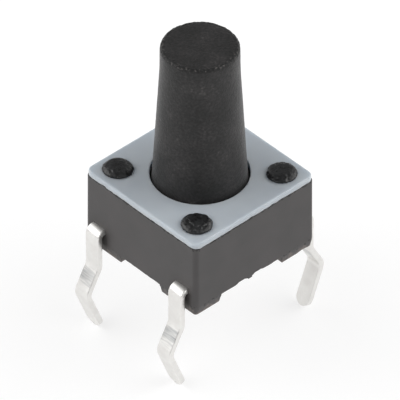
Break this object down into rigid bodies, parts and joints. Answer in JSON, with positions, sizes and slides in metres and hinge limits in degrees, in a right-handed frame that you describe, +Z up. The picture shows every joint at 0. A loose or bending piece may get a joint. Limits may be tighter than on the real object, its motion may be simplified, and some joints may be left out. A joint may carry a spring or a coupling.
{
  "type": "tactile push button switch",
  "caption": "Square through-hole tactile switch with a tall tapered round button, a staked cover plate, kinked snap-in leads and a snap dome inside.",
  "frame": {"origin": "middle of the switch on the board face that its four feet stand on", "axes": "+Z up through the button, +X towards one lead side, Y along the rows of leads"},
  "size_m": [0.0078, 0.006, 0.013],
  "materials": {
    "black_moulding": "fine matte, glass-filled nylon",
    "grey_moulding": "satin, slightly translucent",
    "button_moulding": "spark-eroded matte",
    "spring_steel": "bright spring steel",
    "silver_plated_brass": "satin silver plating over brass"
  },
  "bodies": {
    "housing": {"base_housing": "black_moulding", "cover_plate": "grey_moulding", "centre_terminal": "silver_plated_brass", "rim_terminal": "silver_plated_brass", "snap_dome": "spring_steel"},
    "button": {"push_button": "button_moulding"}
  },
  "joints": [
    {"name": "button_press", "type": "slide", "parent": "housing", "child": "button", "axis": [0, 0, -1], "range_m": [0, 0.00025], "stiffness_N_per_m": 6400, "deforming": ["snap_dome"]}
  ]
}
